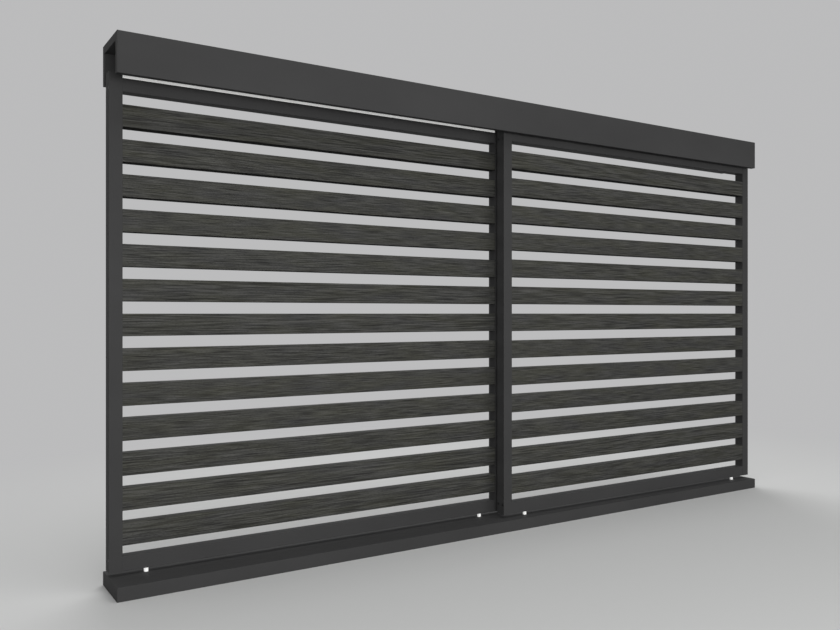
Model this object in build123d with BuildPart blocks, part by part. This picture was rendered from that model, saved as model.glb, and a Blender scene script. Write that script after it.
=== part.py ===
"""A sliding slatted shutter: two slatted panels that hang in a box header and pass each other.

X runs along the width, Y from front to back, Z up. The origin is at the middle of the base
rail's underside. Sizes are in millimetres.
"""
from build123d import *
import os

# Overall size
overall_width = 2790.0
overall_height = 1568.0

# Panels
stile_overlap = 48.0
stile_width = 38.0
stile_depth = 40.0
stile_wall = 2.5
stile_horn = 14.0
rail_depth = 38.0
rail_wall = 2.5
top_rail_height = 39.0
bottom_rail_height = 42.0
panel_clearance = 13.0
profile_corner = 1.0
stile_plug_thickness = 4.0

# Slats
slat_count = 13
slat_height = 65.0
slat_depth = 38.0
slat_corner = 1.5
gap_over_bottom_rail = 31.0
gap_under_top_rail = 36.0
tongue_length = 12.0
tongue_shoulder = 2.5
window_clearance = 0.2

# Header
lane_gap = 24.0
face_clearance = 17.0
header_side = 20.0
header_top = 24.0
header_skin = 2.5
hanging_gap = 28.0
stile_cover = 29.0
header_fixing_radius = 4.5
header_outer_spacing = 2200.0
header_inner_spacing = 740.0

# Base rail
base_height = 40.0
base_wall = 3.0
base_fixing_radius = 4.5
base_fixing_spacing = 2400.0
base_fixing_inset = 29.0

# End caps
cap_thickness = 3.0
cap_chamfer = 0.6
plug_length = 12.0
plug_clearance = 0.2

# Wheels and hangers
running_clearance = 0.3
wheel_radius = 13.0
wheel_width = 9.0
hub_radius = 6.0
hub_length = 2.0
axle_radius = 3.0
axle_end = 1.0
axle_play = 0.05
eye_radius = 9.0
eye_thickness = 12.0
stem_radius = 4.0
stem_play = 0.25
stem_end = 3.0
stem_collar = 5.0
stem_chamfer = 0.8
hanger_inset = 105.0
nut_sides = 6
nut_flats = 13.0
nut_height = 6.5
nut_play = 0.05

# Tracks
track_wall = 2.5
track_lip = 3.0
track_slot = 12.0
track_setback = 30.0
wheel_side_room = 2.0
wheel_top_room = 4.0

# Track stops
stop_length = 30.0
stop_nose_radius = 6.0
stop_nose_length = 8.0

# Screws
track_screw_count = 7
track_screw_spacing = 400.0
track_screw_radius = 2.0
track_screw_length = 14.0
track_screw_head_radius = 4.0
track_screw_head_height = 2.4
corner_screw_radius = 2.0
corner_screw_grip = 20.0
corner_screw_head_radius = 4.0
screw_play = 0.1
port_size = 8.0

# Nylon strip and feet
strip_height = 12.0
strip_depth = 34.0
strip_corner = 1.0
nut_room = 3.0
foot_radius = 6.5
foot_corner = 1.0
foot_inset = 106.0
foot_forward = 10.0
foot_stem_radius = 3.0
foot_stem_length = 14.0

# Sizes that follow from the others
overall_depth = 2 * (header_side + face_clearance + stile_depth) + lane_gap
lane_offset = (lane_gap + stile_depth) / 2
panel_width = (overall_width + stile_overlap) / 2
panel_travel = overall_width - panel_width
panel_offset = panel_travel / 2

wheel_inner = eye_thickness / 2 + running_clearance + hub_length
wheel_outer = wheel_inner + wheel_width
track_inner_width = 2 * (wheel_outer + wheel_side_room)
track_width = track_inner_width + 2 * track_wall
track_inner_height = running_clearance + 2 * wheel_radius + wheel_top_room
track_height = track_inner_height + track_wall + track_lip
track_length = overall_width - 2 * track_setback

header_ceiling = overall_height - header_top
track_bottom = header_ceiling - track_height
lip_top = track_bottom + track_lip
wheel_height = lip_top + running_clearance + wheel_radius
stile_top = track_bottom - hanging_gap
header_bottom = stile_top - stile_cover
header_height = overall_height - header_bottom
header_length = overall_width - 2 * cap_thickness
channel_width = overall_depth - 2 * header_side
header_web = lane_offset / 2

panel_bottom = base_height + panel_clearance
bottom_rail_top = panel_bottom + bottom_rail_height
top_rail_top = stile_top - stile_horn
top_rail_bottom = top_rail_top - top_rail_height
first_slat = bottom_rail_top + gap_over_bottom_rail
last_slat = top_rail_bottom - gap_under_top_rail - slat_height
slat_pitch = (last_slat - first_slat) / (slat_count - 1)
slat_length = panel_width - 2 * stile_width
tongue_height = slat_height - 2 * tongue_shoulder
tongue_depth = slat_depth - 2 * tongue_shoulder
hanger_spacing = panel_width - 2 * hanger_inset
foot_spacing = panel_width - 2 * foot_inset
port_inset = rail_wall + port_size / 2
port_reach = rail_depth / 2 - port_inset
lower_port = bottom_rail_top - port_inset
upper_port = top_rail_bottom + port_inset
stem_bottom = top_rail_top - rail_wall - nut_height - stem_end
stop_face = overall_width / 2 - hanger_inset + eye_radius + running_clearance

# The rear panel rests at the left and the front panel at the right.
panels = {
    "rear": (-panel_offset, lane_offset),
    "front": (panel_offset, -lane_offset),
}
lanes = {"rear": lane_offset, "front": -lane_offset}

os.makedirs("parts", exist_ok=True)


def finish(piece, label):
    """Name a finished piece and write it to its own file."""
    piece.part.label = label
    export_step(piece.part, f"parts/{label}.step")


def header_outline():
    """The inverted U of the header, drawn in the YZ plane."""
    with Locations((0, header_bottom)):
        outer = Rectangle(overall_depth, header_height, align=(Align.CENTER, Align.MIN))
    fillet(outer.vertices(), profile_corner)
    with Locations((0, header_bottom)):
        Rectangle(
            channel_width,
            header_height - header_top,
            align=(Align.CENTER, Align.MIN),
            mode=Mode.SUBTRACT,
        )


def header_chambers(shrink=0.0, mode=Mode.ADD):
    """The hollow chambers of the header's walls, each side taken in by shrink."""
    side_width = header_side - 2 * header_skin
    side_middle = (overall_depth - header_side) / 2
    plate_height = header_top - 2 * header_skin
    plate_middle = header_ceiling + header_top / 2
    inner_edge = channel_width / 2
    web_edge = header_web + header_skin / 2
    with Locations((-side_middle, header_bottom + header_height / 2),
                   (side_middle, header_bottom + header_height / 2)):
        Rectangle(side_width - 2 * shrink, header_height - 2 * header_skin - 2 * shrink, mode=mode)
    with Locations((-(web_edge + inner_edge) / 2, plate_middle),
                   ((web_edge + inner_edge) / 2, plate_middle)):
        Rectangle(inner_edge - web_edge - 2 * shrink, plate_height - 2 * shrink, mode=mode)
    with Locations((0, plate_middle)):
        Rectangle(2 * header_web - header_skin - 2 * shrink, plate_height - 2 * shrink, mode=mode)


def make_header():
    """Extruded header with hollow walls, its fixing holes and the track screws' pilot holes."""
    with BuildPart() as header:
        with BuildSketch(Plane.YZ.offset(-header_length / 2)):
            header_outline()
            header_chambers(mode=Mode.SUBTRACT)
        extrude(amount=header_length)
        with BuildSketch(Plane.XY.offset(header_ceiling)):
            with GridLocations(header_outer_spacing, 0, 2, 1):
                Circle(header_fixing_radius)
            with GridLocations(header_inner_spacing, 0, 2, 1):
                Circle(header_fixing_radius)
        extrude(amount=header_top, mode=Mode.SUBTRACT)
        with BuildSketch(Plane.XY.offset(header_ceiling)):
            with GridLocations(track_screw_spacing, 2 * lane_offset, track_screw_count, 2):
                Circle(track_screw_radius + screw_play)
        extrude(amount=header_skin, mode=Mode.SUBTRACT)
    finish(header, "header_channel")


def make_header_caps():
    """Plate over each end of the header, with plugs that push into its hollow walls."""
    with BuildPart() as caps:
        with BuildSketch(Plane.YZ.offset(header_length / 2)):
            header_outline()
        extrude(amount=cap_thickness)
        chamfer(caps.faces().sort_by(Axis.X)[-1].outer_wire().edges(), cap_chamfer)
        with BuildSketch(Plane.YZ.offset(header_length / 2)):
            header_chambers(shrink=plug_clearance)
        extrude(amount=-plug_length)
        mirror(about=Plane.YZ)
    finish(caps, "header_end_caps")


def base_chambers(shrink=0.0, mode=Mode.ADD):
    """The base rail's three hollow chambers, each side taken in by shrink."""
    chamber_height = base_height - 2 * base_wall - 2 * shrink
    middle_width = 2 * lane_offset - base_wall
    side_width = (overall_depth - 3 * base_wall) / 2 - lane_offset
    side_middle = lane_offset + (base_wall + side_width) / 2
    with Locations((0, base_height / 2)):
        Rectangle(middle_width - 2 * shrink, chamber_height, mode=mode)
    with Locations((-side_middle, base_height / 2), (side_middle, base_height / 2)):
        Rectangle(side_width - 2 * shrink, chamber_height, mode=mode)


def base_outline():
    """The base rail's outline in the YZ plane."""
    with Locations((0, base_height / 2)):
        RectangleRounded(overall_depth, base_height, profile_corner)


def make_base():
    """Extruded base rail with a plain top and fixing holes in its underside."""
    with BuildPart() as base:
        with BuildSketch(Plane.YZ.offset(-header_length / 2)):
            base_outline()
            base_chambers(mode=Mode.SUBTRACT)
        extrude(amount=header_length)
        with BuildSketch(Plane.XY):
            with GridLocations(base_fixing_spacing, overall_depth - 2 * base_fixing_inset, 2, 2):
                Circle(base_fixing_radius)
        extrude(amount=base_wall, mode=Mode.SUBTRACT)
    finish(base, "base_rail")


def make_base_caps():
    """Plate over each end of the base rail, with plugs that push into its chambers."""
    with BuildPart() as caps:
        with BuildSketch(Plane.YZ.offset(header_length / 2)):
            base_outline()
        extrude(amount=cap_thickness)
        chamfer(caps.faces().sort_by(Axis.X)[-1].outer_wire().edges(), cap_chamfer)
        with BuildSketch(Plane.YZ.offset(header_length / 2)):
            base_chambers(shrink=plug_clearance)
        extrude(amount=-plug_length)
        mirror(about=Plane.YZ)
    finish(caps, "base_end_caps")


def make_track(label, lane):
    """C section track: two lips carry the wheels, and the slot between them lets the stems out."""
    with BuildPart() as track:
        with BuildSketch(Plane.YZ.offset(-track_length / 2)):
            with Locations((lane, track_bottom)):
                Rectangle(track_width, track_height, align=(Align.CENTER, Align.MIN))
                Rectangle(
                    track_slot, track_height / 2, align=(Align.CENTER, Align.MIN), mode=Mode.SUBTRACT
                )
            with Locations((lane, lip_top)):
                Rectangle(
                    track_inner_width,
                    track_inner_height,
                    align=(Align.CENTER, Align.MIN),
                    mode=Mode.SUBTRACT,
                )
        extrude(amount=track_length)
        with BuildSketch(Plane.XY.offset(header_ceiling)):
            with Locations((0, lane)):
                with GridLocations(track_screw_spacing, 0, track_screw_count, 1):
                    Circle(track_screw_radius + screw_play)
        extrude(amount=-track_wall, mode=Mode.SUBTRACT)
    finish(track, label)


def make_track_screws():
    """Pan head screws that hold both tracks up to the header's top plate."""
    seat = header_ceiling - track_wall
    with BuildPart() as screws:
        with BuildSketch(Plane.XY.offset(seat)):
            with GridLocations(track_screw_spacing, 2 * lane_offset, track_screw_count, 2):
                Circle(track_screw_radius)
        extrude(amount=track_screw_length)
        with BuildSketch(Plane.XY.offset(seat)):
            with GridLocations(track_screw_spacing, 2 * lane_offset, track_screw_count, 2):
                Circle(track_screw_head_radius)
        extrude(amount=-track_screw_head_height)
    finish(screws, "track_screws")


def make_track_stops():
    """Rubber stop in each track end, with a round nose that meets the hanger's eye."""
    with BuildPart() as stops:
        for lane in lanes.values():
            with BuildSketch(Plane.YZ.offset(stop_face + stop_nose_length)):
                with Locations((lane, lip_top)):
                    Rectangle(
                        track_inner_width, track_inner_height, align=(Align.CENTER, Align.MIN)
                    )
            extrude(amount=stop_length)
            with BuildSketch(Plane.YZ.offset(stop_face)):
                with Locations((lane, wheel_height)):
                    Circle(stop_nose_radius)
            extrude(amount=stop_nose_length)
        mirror(about=Plane.YZ)
    finish(stops, "track_stops")


def make_stile(label, lane, middle, inward):
    """Tube with a window for each slat's tongue, and seats for the corner screws.

    inward is 1 where the slats lie on the tube's +X side, and -1 on its -X side.
    """
    inner_wall = Plane.YZ.offset(middle + inward * (stile_width / 2 - stile_wall))
    outer_wall = Plane.YZ.offset(middle - inward * stile_width / 2)
    with BuildPart() as stile:
        with BuildSketch(Plane.XY.offset(panel_bottom)):
            with Locations((middle, lane)):
                RectangleRounded(stile_width, stile_depth, profile_corner)
                Rectangle(
                    stile_width - 2 * stile_wall, stile_depth - 2 * stile_wall, mode=Mode.SUBTRACT
                )
        extrude(amount=stile_top - panel_bottom)
        with BuildSketch(inner_wall):
            for number in range(slat_count):
                with Locations((lane, first_slat + number * slat_pitch + slat_height / 2)):
                    Rectangle(tongue_depth + 2 * window_clearance, tongue_height + 2 * window_clearance)
            with Locations(*screw_points(lane)):
                Circle(corner_screw_radius + screw_play)
        extrude(amount=inward * stile_wall, mode=Mode.SUBTRACT)
        for point in screw_points(lane):
            with BuildSketch(outer_wall):
                with Locations(point):
                    Circle(corner_screw_head_radius + screw_play)
            with BuildSketch(outer_wall.offset(inward * stile_wall)):
                with Locations(point):
                    Circle(corner_screw_radius + screw_play)
            loft(mode=Mode.SUBTRACT)
    finish(stile, label)


def make_stile_plugs(label, lane, middle):
    """Plastic plates pressed into the stiles' open ends, flush with them."""
    stile_spacing = panel_width - stile_width
    with BuildPart() as plugs:
        for end, inward in ((panel_bottom, 1), (stile_top, -1)):
            with BuildSketch(Plane.XY.offset(end)):
                with Locations((middle, lane)):
                    with GridLocations(stile_spacing, 0, 2, 1):
                        Rectangle(stile_width - 2 * stile_wall, stile_depth - 2 * stile_wall)
            extrude(amount=inward * stile_plug_thickness)
    finish(plugs, label)


def screw_points(lane):
    """Where the corner screws cross the YZ plane: two for each rail, at its screw ports."""
    return [(lane + side * port_reach, height)
            for height in (lower_port, upper_port) for side in (-1, 1)]


def rail_section(lane, bottom, height, port_height):
    """A rail's hollow section in the YZ plane, with screw ports in the corners at that height."""
    with Locations((lane, bottom + height / 2)):
        RectangleRounded(rail_depth, height, profile_corner)
        Rectangle(rail_depth - 2 * rail_wall, height - 2 * rail_wall, mode=Mode.SUBTRACT)
    with Locations((lane - port_reach, port_height), (lane + port_reach, port_height)):
        Rectangle(port_size, port_size)
        Circle(corner_screw_radius + screw_play, mode=Mode.SUBTRACT)


def make_top_rail(label, lane, middle):
    """Top rail between the stiles, with a hole for each hanger's stem."""
    with BuildPart() as rail:
        with BuildSketch(Plane.YZ.offset(middle - slat_length / 2)):
            rail_section(lane, top_rail_bottom, top_rail_height, upper_port)
        extrude(amount=slat_length)
        with BuildSketch(Plane.XY.offset(top_rail_top)):
            with Locations((middle, lane)):
                with GridLocations(hanger_spacing, 0, 2, 1):
                    Circle(stem_radius + stem_play)
        extrude(amount=-rail_wall, mode=Mode.SUBTRACT)
    finish(rail, label)


def make_bottom_rail(label, lane, middle):
    """Bottom rail between the stiles, with a hole for each foot's stem."""
    with BuildPart() as rail:
        with BuildSketch(Plane.YZ.offset(middle - slat_length / 2)):
            rail_section(lane, panel_bottom, bottom_rail_height, lower_port)
        extrude(amount=slat_length)
        with BuildSketch(Plane.XY.offset(panel_bottom)):
            with Locations((middle, lane - foot_forward)):
                with GridLocations(foot_spacing, 0, 2, 1):
                    Circle(foot_stem_radius + screw_play)
        extrude(amount=rail_wall, mode=Mode.SUBTRACT)
    finish(rail, label)


def make_slat(label, lane, middle, bottom):
    """Fixed slat with rounded edges and a tongue at each end that enters the stile's window."""
    section_middle = (lane, bottom + slat_height / 2)
    with BuildPart() as slat:
        with BuildSketch(Plane.YZ.offset(middle - slat_length / 2)):
            with Locations(section_middle):
                RectangleRounded(slat_depth, slat_height, slat_corner)
        extrude(amount=slat_length)
        with BuildSketch(Plane.YZ.offset(middle - slat_length / 2 - tongue_length)):
            with Locations(section_middle):
                Rectangle(tongue_depth, tongue_height)
        extrude(amount=slat_length + 2 * tongue_length)
    finish(slat, label)


def make_strip(label, lane, middle):
    """Nylon strip along the top rail, with round clearance holes for the lock nuts."""
    with BuildPart() as strip:
        with BuildSketch(Plane.YZ.offset(middle - slat_length / 2)):
            with Locations((lane, top_rail_top)):
                outline = Rectangle(strip_depth, strip_height, align=(Align.CENTER, Align.MIN))
            fillet(outline.vertices().group_by(Axis.Z)[-1], strip_corner)
        extrude(amount=slat_length)
        with BuildSketch(Plane.XY.offset(top_rail_top)):
            with Locations((middle, lane)):
                with GridLocations(hanger_spacing, 0, 2, 1):
                    Circle(nut_flats / 2 + nut_room)
        extrude(amount=strip_height, mode=Mode.SUBTRACT)
    finish(strip, label)


def make_feet(label, lane, middle):
    """Two round nylon feet, each with a stem pushed up into the bottom rail."""
    foot_height = panel_clearance - running_clearance
    with BuildPart() as feet:
        with BuildSketch(Plane.XY.offset(panel_bottom)):
            with Locations((middle, lane - foot_forward)):
                with GridLocations(foot_spacing, 0, 2, 1):
                    Circle(foot_radius)
        extrude(amount=-foot_height)
        chamfer(feet.edges().group_by(Axis.Z)[0], foot_corner)
        with BuildSketch(Plane.XY.offset(panel_bottom)):
            with Locations((middle, lane - foot_forward)):
                with GridLocations(foot_spacing, 0, 2, 1):
                    Circle(foot_stem_radius)
        extrude(amount=foot_stem_length)
    finish(feet, label)


def make_hanger(label, lane, middle):
    """Forged hanger: an eye round the axle, a collar, and a stem down into the top rail."""
    with BuildPart() as hanger:
        with BuildSketch(Plane.XZ.offset(-lane)):
            with Locations((middle, wheel_height)):
                Circle(eye_radius)
        extrude(amount=eye_thickness / 2, both=True)
        with BuildSketch(Plane.XY.offset(wheel_height - eye_radius - stem_collar / 2)):
            with Locations((middle, lane)):
                Circle(stem_radius)
        with BuildSketch(Plane.XY.offset(wheel_height - eye_radius + stem_collar / 2)):
            with Locations((middle, lane)):
                Circle(eye_thickness / 2)
        loft()
        with BuildSketch(Plane.XY.offset(stem_bottom)):
            with Locations((middle, lane)):
                Circle(stem_radius)
        extrude(amount=wheel_height - eye_radius - stem_bottom)
        chamfer(hanger.edges().group_by(Axis.Z)[0], stem_chamfer)
        with BuildSketch(Plane.XZ.offset(-lane)):
            with Locations((middle, wheel_height)):
                Circle(axle_radius + axle_play)
        extrude(amount=eye_thickness / 2, both=True, mode=Mode.SUBTRACT)
    finish(hanger, label)


def make_lock_nuts(label, lane, middle):
    """Hexagon nuts above and below the top rail's upper wall, on each stem."""
    with BuildPart() as nuts:
        for height in (top_rail_top, top_rail_top - rail_wall - nut_height):
            with BuildSketch(Plane.XY.offset(height)):
                with Locations((middle, lane)):
                    with GridLocations(hanger_spacing, 0, 2, 1):
                        RegularPolygon(nut_flats / 2, nut_sides, major_radius=False)
                        Circle(stem_radius + nut_play, mode=Mode.SUBTRACT)
            extrude(amount=nut_height)
    finish(nuts, label)


def make_wheelset(label, lane, middle):
    """Two wheels pressed on one axle, one wheel above each lip of the track."""
    bore = axle_radius
    axis = Axis((middle, lane, wheel_height), (0, 1, 0))
    with BuildPart() as wheelset:
        with BuildSketch(Plane.XZ.offset(-lane)):
            with Locations((middle, wheel_height)):
                Circle(axle_radius)
        extrude(amount=wheel_outer + axle_end, both=True)
        for side in (-1, 1):
            hub_face = lane + side * (wheel_inner - hub_length)
            inner_face = lane + side * wheel_inner
            outer_face = lane + side * wheel_outer
            with BuildSketch(Plane.YZ.offset(middle)):
                with BuildLine():
                    Polyline(
                        (hub_face, wheel_height + bore),
                        (hub_face, wheel_height + hub_radius),
                        (inner_face, wheel_height + hub_radius),
                        (inner_face, wheel_height + wheel_radius),
                        (outer_face, wheel_height + wheel_radius),
                        (outer_face, wheel_height + bore),
                        close=True,
                    )
                make_face()
            revolve(axis=axis)
    finish(wheelset, label)


def make_corner_screws(label, lane, middle):
    """Countersunk screws through both stiles into the rails' screw ports."""
    outer_face = panel_width / 2
    length = stile_width + corner_screw_grip
    with BuildPart() as screws:
        for side in (-1, 1):
            head = Plane.YZ.offset(middle + side * outer_face)
            throat = Plane.YZ.offset(middle + side * (outer_face - stile_wall))
            for point in screw_points(lane):
                with BuildSketch(head):
                    with Locations(point):
                        Circle(corner_screw_head_radius)
                with BuildSketch(throat):
                    with Locations(point):
                        Circle(corner_screw_radius)
                loft()
                with BuildSketch(throat):
                    with Locations(point):
                        Circle(corner_screw_radius)
                extrude(amount=-side * (length - stile_wall))
    finish(screws, label)


def make_panel(name, middle, lane):
    """One whole panel with its hangers, wheels and feet."""
    stile_middle = (panel_width - stile_width) / 2
    make_stile(f"{name}_stile_left", lane, middle - stile_middle, 1)
    make_stile(f"{name}_stile_right", lane, middle + stile_middle, -1)
    make_stile_plugs(f"{name}_stile_plugs", lane, middle)
    make_top_rail(f"{name}_top_rail", lane, middle)
    make_bottom_rail(f"{name}_bottom_rail", lane, middle)
    for number in range(slat_count):
        make_slat(f"{name}_slat_{number + 1:02d}", lane, middle, first_slat + number * slat_pitch)
    make_strip(f"{name}_top_strip", lane, middle)
    make_feet(f"{name}_feet", lane, middle)
    make_lock_nuts(f"{name}_lock_nuts", lane, middle)
    make_corner_screws(f"{name}_corner_screws", lane, middle)
    for side, offset in (("left", -hanger_spacing / 2), ("right", hanger_spacing / 2)):
        make_hanger(f"{name}_hanger_{side}", lane, middle + offset)
        make_wheelset(f"{name}_wheelset_{side}", lane, middle + offset)


make_header()
make_header_caps()
make_base()
make_base_caps()
for lane_name, lane_position in lanes.items():
    make_track(f"{lane_name}_track", lane_position)
make_track_screws()
make_track_stops()
for panel_name, (panel_middle, panel_lane) in panels.items():
    make_panel(panel_name, panel_middle, panel_lane)
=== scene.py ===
"""A sliding slatted shutter: its finishes, its slats and fittings, and a plain studio round it."""

import math

import bmesh
import bpy
from bpy.props import (
    FloatProperty, FloatVectorProperty, IntProperty, PointerProperty,
)
from mathutils import Matrix, Vector


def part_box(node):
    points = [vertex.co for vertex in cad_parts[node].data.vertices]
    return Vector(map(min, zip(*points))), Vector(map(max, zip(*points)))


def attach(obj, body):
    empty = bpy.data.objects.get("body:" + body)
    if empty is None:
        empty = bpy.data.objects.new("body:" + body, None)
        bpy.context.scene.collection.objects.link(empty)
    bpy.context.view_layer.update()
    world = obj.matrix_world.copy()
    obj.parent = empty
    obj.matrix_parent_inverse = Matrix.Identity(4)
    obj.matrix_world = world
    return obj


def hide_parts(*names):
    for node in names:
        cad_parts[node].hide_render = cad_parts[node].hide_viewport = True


bl_info = {
    "name": "Sliding slatted shutter",
    "version": (1, 0, 0),
    "blender": (4, 5, 0),
    "location": "View3D > Sidebar > Shutter",
    "description": "Dresses a two-panel sliding slatted shutter with its finishes and fittings",
    "category": "Object",
}

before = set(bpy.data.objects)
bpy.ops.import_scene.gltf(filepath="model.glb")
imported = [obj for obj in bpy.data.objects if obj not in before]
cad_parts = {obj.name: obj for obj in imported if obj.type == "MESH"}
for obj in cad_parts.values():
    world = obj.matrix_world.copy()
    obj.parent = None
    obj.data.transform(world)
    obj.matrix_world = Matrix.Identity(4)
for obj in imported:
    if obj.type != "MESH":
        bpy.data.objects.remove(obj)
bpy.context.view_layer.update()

MM = 0.001
PANELS = ("rear", "front")
ENDS = ("left", "right")

# The lowest two slats give the section and the pitch, and the bottom rail the length between
# the stiles. What a slat has beyond that length are its two tongues.
slat_low, slat_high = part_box("rear_slat_01")
next_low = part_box("rear_slat_02")[0]
rail_low, rail_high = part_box("rear_bottom_rail")
SLAT_COUNT = sum(name.startswith("rear_slat_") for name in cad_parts)
SLAT_LENGTH = rail_high.x - rail_low.x
SLAT_DEPTH = slat_high.y - slat_low.y
SLAT_HEIGHT = slat_high.z - slat_low.z
SLAT_PITCH = next_low.z - slat_low.z
TONGUE_LENGTH = (slat_high.x - slat_low.x - SLAT_LENGTH) / 2

wheel_low, wheel_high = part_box("rear_wheelset_left")
WHEEL_RADIUS = (wheel_high.z - wheel_low.z) / 2
AXLE_REACH = (wheel_high.y - wheel_low.y) / 2

nuts_low, nuts_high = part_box("rear_lock_nuts")
NUT_FLATS = nuts_high.y - nuts_low.y

# Nearly all of a noise pattern lies between the low and the high value.
NOISE_LOW = 0.3
NOISE_MIDDLE = 0.5
NOISE_HIGH = 0.7

# Metres by which the grain moves along and across from one slat to the next
SHIFT_ALONG = 0.731
SHIFT_ACROSS = 0.117

# How many times shorter and lower a pore is than a grain line
PORES_ALONG = 10.0
PORES_ACROSS = 2.0

# A slat's face counts as its underside where the upward part of its normal is below these; there
# painted shade darkens its colour.
FACING_DOWN = -0.6
FACING_ASIDE = -0.3

# Places of the sockets that share their names with others: of a Mix node that blends colours,
# of a Mix Shader node and of a Random Value node that draws plain numbers
COLOUR_FIRST, COLOUR_SECOND, COLOUR_RESULT = 6, 7, 2
SHADER_FIRST, SHADER_SECOND = 1, 2
NUMBER_MOST, NUMBER_RESULT = 3, 1

# Number of sides of a ring in a turned shape
ROUND = 0
HEXAGON = 6

# A pan head's outline from its top to its seat, in shares of its radius and its height
PAN_OUTLINE = ((0.6, 1.0), (0.85, 0.8), (1.0, 0.4), (1.0, 0.0))

# Shares of a screw's shank that its tip keeps, of a sunk head's radius that its bevel takes,
# and of a nut's inner radius that its round faces keep
BLUNT_TIP = 0.5
FINE_TIP = 0.3
HEAD_BEVEL = 0.05
NUT_FACE = 0.92

EDGE_POINTS = 4
TRACK_SCREW_SEED = 3

# The floor's half width in metres, and the shape of its bright middle, which is wider along X
FLOOR_REACH = 30.0
FLOOR_OVAL = (0.75, 1.0, 0.0)


def length(name, text, default):
    """A size in metres that a user can change."""
    return FloatProperty(name=name, description=text, default=default, min=0.0, unit="LENGTH",
                         precision=5)


def tone(name, text, default):
    """A colour that a user can change."""
    return FloatVectorProperty(name=name, description=text, default=default, size=3, min=0.0,
                               max=1.0, subtype="COLOR")


def share(name, text, default):
    """A value from 0 to 1 that a user can change."""
    return FloatProperty(name=name, description=text, default=default, min=0.0, max=1.0,
                         subtype="FACTOR")


def power(name, text, default):
    """A lamp's power in watts that a user can change."""
    return FloatProperty(name=name, description=text, default=default, min=0.0, unit="POWER")


class FinishSettings(bpy.types.PropertyGroup):
    """Colours and textures of every finish."""

    coat: tone("Powder coat", "Anthracite coat on header, base, stiles and rails",
               (0.0550, 0.0548, 0.0550))
    coat_roughness: share("Coat roughness", "How matt the powder coat is", 0.62)
    coat_gloss: share("Coat gloss", "How much light the powder coat mirrors", 0.08)
    coat_pimple: length("Coat pimple", "Width of the powder coat's small pimples", 1.2 * MM)
    stain_grey: tone("Stain grey", "Grey parts of the slats' stain", (0.0570, 0.0570, 0.0560))
    stain_olive: tone("Stain olive", "Olive parts of the slats' stain", (0.0610, 0.0610, 0.0490))
    stain_pale: tone("Grain pale", "Pale flecks of the slats' grain", (0.1150, 0.1150, 0.1070))
    stain_dark: tone("Grain dark", "Dark lines of the slats' grain", (0.0160, 0.0160, 0.0150))
    fleck_strength: share("Fleck strength", "How strong the pale flecks are", 0.70)
    line_strength: share("Line strength", "How strong the dark lines are", 0.85)
    pore_strength: share("Pore strength", "How strong the dark pores are", 0.60)
    # Painted shade: the share of the colour that the slats' undersides keep, darkened for the shade
    # under each slat.
    underside_painted_shade: share("Dark underside", "How much of the stain's tone a slat's underside keeps", 0.12)
    grain_width: length("Grain width", "Height of one of the slats' grain lines", 1.7 * MM)
    grain_run: length("Grain run", "Length of a grain line along the slat", 80.0 * MM)
    figure_width: length("Figure width", "Height of a grey or olive patch", 30.0 * MM)
    figure_run: length("Figure run", "Length of a grey or olive patch along the slat", 160.0 * MM)
    stain_gloss: share("Stain gloss", "How much light the stained timber mirrors", 0.12)
    nylon: tone("Nylon", "White nylon of strips and feet", (0.88, 0.88, 0.87))
    # Painted light: the nylon glows though it is no lamp, so that strips and feet stay bright in the
    # shade under the header and the panels.
    nylon_painted_glow: share("Nylon glow", "How bright the nylon stays in the shade under a panel", 0.40)
    plastic: tone("Black plastic", "Plates in the stiles' open ends", (0.018, 0.018, 0.018))
    rubber: tone("Rubber", "Stops in the track ends", (0.022, 0.022, 0.022))
    aluminium: tone("Aluminium", "Plain metal of the tracks", (0.60, 0.61, 0.62))
    steel: tone("Steel", "Turned wheels and axles", (0.52, 0.52, 0.53))
    zinc: tone("Zinc", "Plating of hangers, nuts and track screws", (0.56, 0.57, 0.60))
    black_steel: tone("Blackened steel", "Corner screws in the stiles", (0.055, 0.055, 0.056))
    thread_pitch: length("Thread pitch", "Distance between two turns of a stem's thread", 1.25 * MM)


class SlatSettings(bpy.types.PropertyGroup):
    """Sizes of the slats."""

    count: IntProperty(name="Slats", description="Slats in each panel", default=SLAT_COUNT, min=1)
    run: length("Length", "Length between the stiles", SLAT_LENGTH)
    height: length("Height", "Height of a slat's face", SLAT_HEIGHT)
    depth: length("Depth", "Thickness from front to back", SLAT_DEPTH)
    pitch: length("Pitch", "Distance from one slat to the next", SLAT_PITCH)
    edge: length("Edge radius", "Rounding of a slat's long edges", 1.0 * MM)
    tongue: length("Tongue", "How far each end reaches into its stile", TONGUE_LENGTH)
    shoulder: length("Shoulder", "How much thinner the tongue is on each side", 2.5 * MM)


class ScrewSettings(bpy.types.PropertyGroup):
    """Sizes of the screws."""

    head: length("Head radius", "Radius of the screws' heads", 4.0 * MM)
    shank: length("Shank radius", "Radius of the screws' shanks", 2.0 * MM)
    socket: length("Socket", "Distance across the flats of a screw's socket", 2.5 * MM)
    socket_depth: length("Socket depth", "Depth of a screw's socket", 1.5 * MM)
    pan: length("Pan height", "Height of a track screw's head", 2.4 * MM)
    track_count: IntProperty(name="Track screws", description="Screws in each track", default=7,
                             min=2)
    track_point: length("Track screw point", "Length of a track screw's point", 1.0 * MM)
    sink: length("Countersink", "Height of a corner screw's head", 2.5 * MM)
    grip: length("Corner screw grip", "How far a corner screw reaches past its stile", 20.0 * MM)
    corner_point: length("Corner screw point", "Length of a corner screw's point", 2.0 * MM)


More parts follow.
